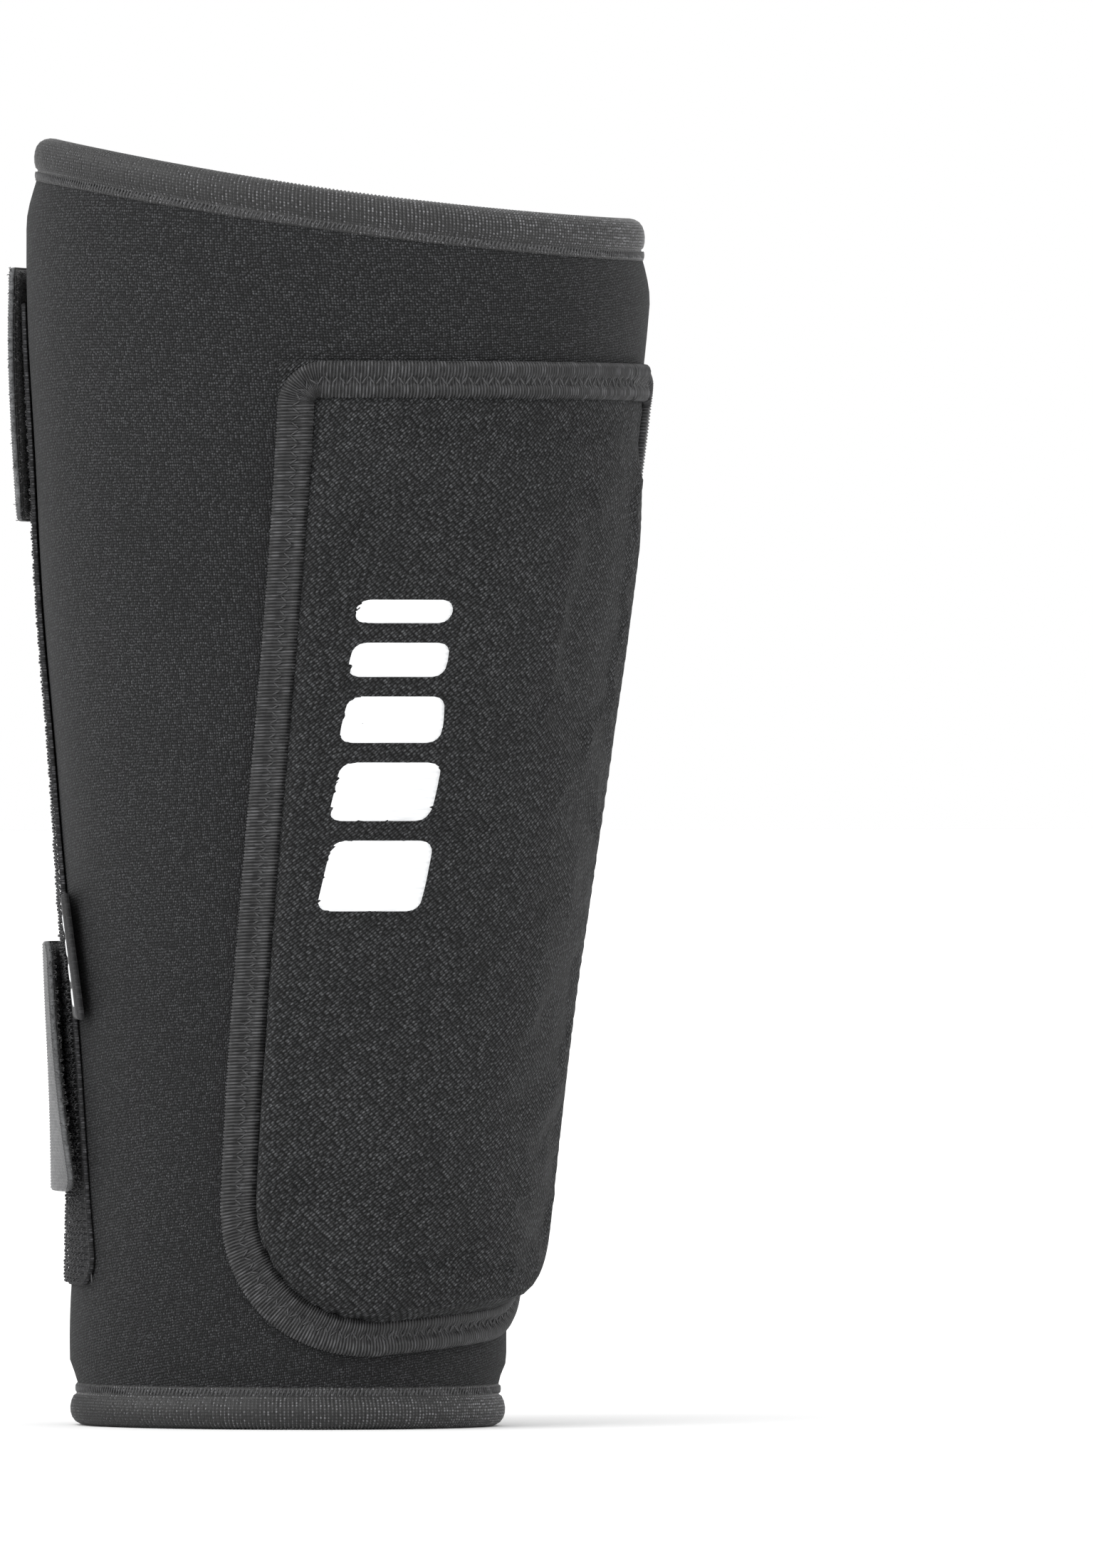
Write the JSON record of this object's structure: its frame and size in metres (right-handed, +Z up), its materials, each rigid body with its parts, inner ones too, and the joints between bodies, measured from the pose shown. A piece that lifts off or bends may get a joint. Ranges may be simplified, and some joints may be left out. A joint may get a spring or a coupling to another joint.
{
  "type": "shin guard",
  "caption": "Right-leg shin guard sleeve of charcoal neoprene with a bound shield pocket on the shin and a back opening closed by hook-and-loop straps.",
  "frame": {"origin": "centre of the ankle opening, on the plane of the bottom edge the guard stands on", "axes": "+Z up the leg, -Y forwards out of the shin, -X towards the outer (lateral) side of the right leg"},
  "size_m": [0.1317, 0.1375, 0.2649],
  "materials": {
    "neoprene": "fine charcoal jersey over neoprene foam",
    "ribbed_tape": "narrow ribbed elastic binding, charcoal",
    "thread": "charcoal polyester sewing thread",
    "lining": "thin knitted lining",
    "foam": "closed-cell foam sheet",
    "shield": "moulded semi-rigid plastic sheet",
    "pad_cloth": "coarse textured knit, charcoal",
    "hook_tape": "woven nylon ground of the hook tape",
    "hooks": "rows of fine nylon hooks",
    "label": "woven label with white marks",
    "elastic": "wide ribbed elastic webbing",
    "loop": "brushed loop fabric"
  },
  "bodies": {
    "shell": {"sleeve": "neoprene", "top_binding": "ribbed_tape", "bottom_binding": "ribbed_tape", "top_binding_thread": "thread", "bottom_binding_thread": "thread", "lateral_edge_binding": "ribbed_tape", "pocket_lining": "lining", "shin_foam": "foam", "shin_shield": "shield", "pad_cover": "pad_cloth", "pad_binding": "ribbed_tape", "pad_binding_thread": "thread", "hook_tape": "hook_tape", "hook_field": "hooks", "hook_tape_thread": "thread", "flag_label": "label"},
    "medial_flap": {"sleeve_medial_flap": "neoprene", "top_binding_flap": "ribbed_tape", "bottom_binding_flap": "ribbed_tape", "top_binding_flap_thread": "thread", "bottom_binding_flap_thread": "thread", "medial_edge_binding": "ribbed_tape", "wrap_panel": "neoprene", "wrap_panel_thread": "thread", "upper_strap_anchor": "elastic", "upper_strap_anchor_thread": "thread", "lower_strap_anchor": "elastic", "lower_strap_anchor_thread": "thread"},
    "upper_strap": {"upper_strap_band": "elastic", "upper_strap_loop_patch": "loop"},
    "lower_strap": {"lower_strap_band": "elastic", "lower_strap_loop_patch": "loop"}
  },
  "joints": [
    {"name": "medial_flap_bend", "type": "hinge", "parent": "shell", "child": "medial_flap", "pos_m": [0.0446, -0.006, 0], "axis": [-0.0864, 0.0744, -0.9935], "range_deg": [0, 60]},
    {"name": "upper_strap_peel", "type": "hinge", "parent": "medial_flap", "child": "upper_strap", "pos_m": [0.03483, 0.04183, 0.187], "axis": [-0.0419, 0.0102, -0.9991], "range_deg": [0, 120]},
    {"name": "lower_strap_peel", "type": "hinge", "parent": "medial_flap", "child": "lower_strap", "pos_m": [0.02666, 0.04381, 0.048], "axis": [-0.0532, 0.0129, -0.9985], "range_deg": [0, 120]}
  ]
}
